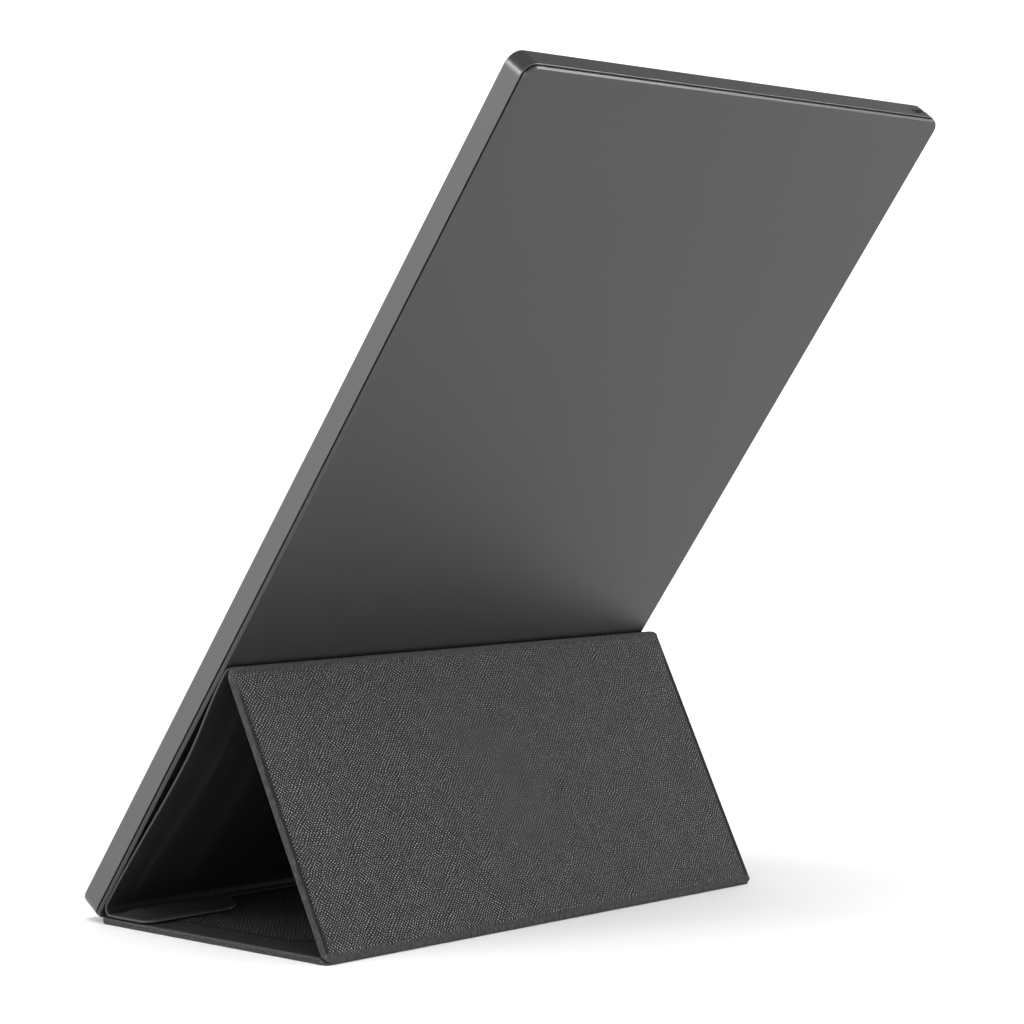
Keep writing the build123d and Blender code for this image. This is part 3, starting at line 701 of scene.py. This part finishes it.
def make_woven(name, dark, light, plain, edge_light, **sockets):
    """Canvas of a light and a dark thread, with painted shade in the gaps, a melange of tones, a painted highlight
    along edges and painted shade in the pressed groove.
    """
    shader = Shader(name, **sockets)
    above, height, tone, uv = weave(shader, thread_pitch)
    fuzz = shader.noise(uv, 2.0, 4.0)
    patch = shader.noise(uv, 0.07, 3.0)
    slub = shader.add("ShaderNodeMapping", {"Vector": uv, "Scale": (0.5, 0.12, 1.0)}).outputs[0]
    slub = shader.noise(slub, 1.0, 1.0)
    # the gaps between threads are darkened with painted shade; the melange factors are random tone
    shade = shader.math("ADD", height, 0.02)
    for kind, value in (("fuzz", fuzz), ("patch", patch), ("thread", tone), ("slub", slub)):
        shade = shader.math("MULTIPLY", shade, shader.spread(value, 1 - melange[kind], 1 + melange[kind]))
    thread = shader.mix(shader.math("POWER", above, thread_sharpness), dark, light)
    lines = thread_streaks(shader)
    turned = shader.mix(lines, dark, plain)
    colour = shader.mix(mark(shader, "plain"), scaled(shader, thread, shade), turned)
    # painted highlight along edges
    colour = shader.mix(shader.math("MULTIPLY", mark(shader, "rim"), edge_highlight_share), colour, edge_light)
    # painted shade in the pressed groove
    groove_and_shade = shader.math("MULTIPLY", mark(shader, "groove_and_shade"), groove_shade_share)
    shader.colour(shader.mix(groove_and_shade, colour, dark))
    shader.roughness(shader.spread(fuzz, 0.75, 0.95))
    relief = shader.add("ShaderNodeMix", {0: mark(shader, "plain"), 2: height, 3: lines}, data_type="FLOAT")
    shader.bump(relief.outputs[0], 1.0, 0.0002)
    return shader.material


def make_ribbed(name, dark, light, **sockets):
    """Coarse cloth with diagonal ribs."""
    shader = Shader(name, **sockets)
    rib, uv = twill(shader, field_pitch)
    fuzz = shader.noise(uv, 1.6, 3.0)
    shade = shader.math("MULTIPLY", rib, shader.spread(fuzz, 0.3, 1.7))
    # painted shadow line along the field's edges
    painted_edge_share = shader.math("MULTIPLY", mark(shader, "rim"), 0.9)
    shader.colour(shader.mix(painted_edge_share, shader.mix(shade, dark, light), dark))
    shader.roughness(shader.spread(fuzz, 0.75, 0.95))
    shader.bump(rib, 1.0, 0.0003)
    return shader.material


def make_smooth_cloth(name, dark, light, edge_light, **sockets):
    """Fine, close cloth whose threads hardly show."""
    shader = Shader(name, **sockets)
    uv = shader.cloth_place()
    fine = shader.noise(uv, 2600.0, 3.0)
    patch = shader.noise(uv, 60.0, 3.0)
    blend = shader.math("MULTIPLY_ADD", patch, 0.6, shader.math("MULTIPLY", fine, 0.4))
    # painted highlight along cut edges and on crease tops
    shader.colour(shader.mix(mark(shader, "rim"), shader.mix(blend, dark, light), edge_light))
    shader.roughness(shader.spread(fine, 0.45, 0.6))
    shader.bump(shader.math("MULTIPLY_ADD", patch, 2.0, fine), 0.25, 0.00008)
    return shader.material


def make_satin_metal(name, dark, light, rough):
    """Fine blasted and anodised metal."""
    shader = Shader(name, Metallic=0.9)
    place = shader.place()
    grain = shader.noise(place, 5200.0, 2.0)
    cloud = shader.noise(place, 14.0, 2.0)
    blend = shader.math("MULTIPLY_ADD", cloud, 0.6, shader.math("MULTIPLY", grain, 0.4))
    shader.colour(shader.mix(blend, dark, light))
    shader.roughness(shader.spread(grain, rough[0], rough[1]))
    shader.bump(grain, 0.12, 0.00001)
    return shader.material


def make_screen():
    """Dark glass of the panel."""
    shader = Shader("screen_glass", Coat_Weight=1.0, Coat_Roughness=0.04, IOR=1.5)
    place = shader.place()
    dots = shader.noise(place, 4000.0, 1.0)
    shader.colour(shader.mix(dots, grey(0.004, 1.2), grey(0.009, 1.2)))
    shader.roughness(shader.spread(shader.noise(place, 40.0), 0.3, 0.38))
    return shader.material


# in these cloths edge_light is the colour of the painted highlight along edges and creases
woven_cloth = make_woven("woven_cloth", grey(0.001), grey(0.262), plain=grey(0.045), edge_light=grey(0.075),
                         Sheen_Weight=0.05)
woven_field = make_ribbed("woven_field", grey(0.0005), grey(0.036), Specular_IOR_Level=0.2)
inner_cloth = make_smooth_cloth("inner_cloth", grey(0.0105), grey(0.017), edge_light=grey(0.05),
                                Specular_IOR_Level=0.4)
lining_cloth = make_smooth_cloth("lining_cloth", grey(0.017), grey(0.026), edge_light=grey(0.055),
                                 Specular_IOR_Level=0.35)
plate_metal = make_satin_metal("plate_metal", grey(0.07, 1.03), grey(0.077, 1.03), (0.34, 0.42))
# The side frame shares the casing's metal; this lighter copy is painted light for its lit side band.
lit_frame_metal = make_satin_metal("lit_frame_metal", grey(0.124, 1.02), grey(0.138, 1.02), (0.3, 0.38))

slot_materials = {
    "casing": plate_metal,
    "bezel_plastic": grained("bezel_plastic", grey(0.012), grey(0.02), (0.42, 0.55)),
    "key_plastic": grained("key_plastic", grey(0.02), grey(0.032), (0.35, 0.45)),
    "screen": make_screen(),
    "clear_plastic": grained("clear_plastic", grey(0.6), grey(0.7), (0.08, 0.14), Transmission_Weight=0.6),
    "white_film": grained("white_film", grey(0.72), grey(0.8), (0.3, 0.4)),
    "led_board": grained("led_board", grey(0.62), grey(0.8), (0.4, 0.5)),
    "tray_metal": grained("tray_metal", grey(0.5), grey(0.6), (0.3, 0.42), Metallic=1.0),
    "circuit_board": grained("circuit_board", (0.006, 0.05, 0.02, 1), (0.012, 0.085, 0.035, 1), (0.35, 0.5)),
    "chip_plastic": grained("chip_plastic", grey(0.012), grey(0.024), (0.5, 0.62)),
    "flex_film": grained("flex_film", (0.28, 0.12, 0.02, 1), (0.36, 0.17, 0.04, 1), (0.3, 0.4)),
    "steel": grained("steel", grey(0.5), grey(0.62), (0.24, 0.34), Metallic=1.0),
    "brass": grained("brass", (0.55, 0.38, 0.13, 1), (0.65, 0.47, 0.18, 1), (0.26, 0.36), Metallic=1.0),
    "magnet": grained("magnet", grey(0.3), grey(0.4), (0.3, 0.42), Metallic=1.0),
    "tape": grained("tape", grey(0.012), grey(0.025), (0.7, 0.85)),
    "insulator": grained("insulator", grey(0.01), grey(0.018), (0.25, 0.35)),
    "woven_cloth": inner_cloth,
    "inner_cloth": inner_cloth,
    "lining": lining_cloth,
    "board": grained("board", (0.2, 0.17, 0.13, 1), (0.3, 0.26, 0.2, 1), (0.8, 0.92), 400.0, 0.00006),
    "lamp": grained("lamp", (0.75, 0.72, 0.6, 1), (0.85, 0.82, 0.7, 1), (0.3, 0.4)),
}

# A darker copy of the steel of its slot: painted shade in the socket's opening.
shaded_socket_metal = grained("shaded_socket_metal", grey(0.3), grey(0.38), (0.3, 0.4), Metallic=1.0)
blade_metal = grained("blade_metal", grey(0.85), grey(0.95), (0.45, 0.55))


def dress(piece, material):
    piece.data.materials.clear()
    piece.data.materials.append(material)


def finish_cloth(piece, node, body, material):
    """Puts a cloth piece in its solid's place, on its body."""
    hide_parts(node)
    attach(piece, body)
    dress(piece, material)


def dress_solids():
    """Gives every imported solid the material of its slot."""
    for entry in frame["record"]["subparts"]:
        solid = frame["nodes"][entry["node"]]
        solid.data.materials.clear()
        solid.data.materials.append(slot_materials[entry["material_slot"]])
    # the side frame's lighter copy is painted light, the socket shell's darker copy painted shade
    for node, material in (("side_frame", lit_frame_metal), ("usb_c_shell", shaded_socket_metal),
                           ("usb_c_contact_blade", blade_metal)):
        frame["nodes"][node].data.materials[0] = material


# ------------------------------------------------------------------------- stage
def make_camera():
    azimuth, elevation = radians(camera_azimuth), radians(camera_elevation)
    back = Vector((sin(azimuth) * cos(elevation), -cos(azimuth) * cos(elevation), sin(elevation)))
    right = Vector((0, 0, 1)).cross(back).normalized()
    above = back.cross(right)
    roll = radians(camera_roll)
    tilted_right = right * cos(roll) + above * sin(roll)
    tilted_above = above * cos(roll) - right * sin(roll)
    data = bpy.data.cameras.new("camera")
    data.lens, data.sensor_width = camera_lens, sensor
    data.clip_start, data.clip_end = camera_clip
    camera = bpy.data.objects.new("camera", data)
    axes = Matrix((tilted_right, tilted_above, back)).transposed().to_4x4()
    camera.matrix_world = Matrix.Translation(camera_place) @ axes
    bpy.context.scene.collection.objects.link(camera)
    bpy.context.scene.camera = camera


def make_floor():
    mesh = bpy.data.meshes.new("floor")
    work = bmesh.new()
    bmesh.ops.create_circle(work, cap_ends=True, segments=floor_sides, radius=floor_reach)
    work.to_mesh(mesh)
    work.free()
    piece = bpy.data.objects.new("floor", mesh)
    bpy.context.scene.collection.objects.link(piece)
    shader = Shader("floor_white", Roughness=1.0, Specular_IOR_Level=0.0)
    place = shader.place()
    distance = shader.add("ShaderNodeVectorMath", {0: place}, operation="LENGTH").outputs["Value"]
    ramp = {0: distance, 1: floor_near_far[0], 2: floor_near_far[1]}
    far = shader.add("ShaderNodeMapRange", ramp, interpolation_type="SMOOTHSTEP").outputs[0]
    # painted shade: darker near the part, evening out the lamps' pool of light
    tone = shader.mix(far, grey(floor_shade_tones[0]), grey(floor_shade_tones[1]))
    shader.colour(scaled(shader, tone, shader.spread(shader.noise(place, 6.0), 0.99, 1.01)))
    mesh.materials.append(shader.material)


def make_light(name, place, target, size, power, glossy=True):
    """A soft lamp; one that isn't glossy lights things but isn't mirrored in them."""
    data = bpy.data.lights.new(name, "AREA")
    data.shape, data.size, data.size_y, data.energy = "ELLIPSE", size[0], size[1], power
    light = bpy.data.objects.new(name, data)
    light.location = place
    light.rotation_mode = "QUATERNION"
    light.rotation_quaternion = (Vector(target) - Vector(place)).to_track_quat("-Z", "Y")
    light.visible_glossy = glossy
    bpy.context.scene.collection.objects.link(light)


def make_world():
    """A white room that darkens towards its ceiling."""
    world = bpy.data.worlds.new("studio")
    world.use_nodes = True
    nodes, links = world.node_tree.nodes, world.node_tree.links
    heading = nodes.new("ShaderNodeTexCoord").outputs["Generated"]
    split = nodes.new("ShaderNodeSeparateXYZ")
    links.new(heading, split.inputs[0])
    height = nodes.new("ShaderNodeMapRange")
    height.interpolation_type = "SMOOTHSTEP"
    links.new(split.outputs["Z"], height.inputs["Value"])
    for key, value in zip(("From Min", "From Max", "To Min", "To Max"), (*wall_fade, wall_light, wall_top)):
        height.inputs[key].default_value = value
    nodes["Background"].inputs["Color"].default_value = (1, 1, 1, 1)
    links.new(height.outputs["Result"], nodes["Background"].inputs["Strength"])
    bpy.context.scene.world = world
    bpy.context.scene.view_settings.view_transform = "Standard"


make_camera()
make_floor()
make_world()
make_light("ceiling_light", place=(0, 0, 3), target=(0, 0, 0), size=(26, 26),
           power=ceiling_power, glossy=False)
make_light("overhead_light", place=(0.5, 0.35, 1.2), target=(0.3, 0.15, 0), size=(0.9, 0.9),
           power=overhead_power, glossy=False)
make_light("edge_light", place=(-1.5, 1.68, 1.15), target=(0, 0.05, 0.2), size=(0.7, 0.24), power=edge_power)
make_light("side_light", place=(1.66, -0.9, 1.15), target=(0, 0.1, 0.25), size=(0.5, 0.5), power=side_power)
dress_solids()
make_panels(make_folds())
make_field()
make_back_sheet(make_tongues())
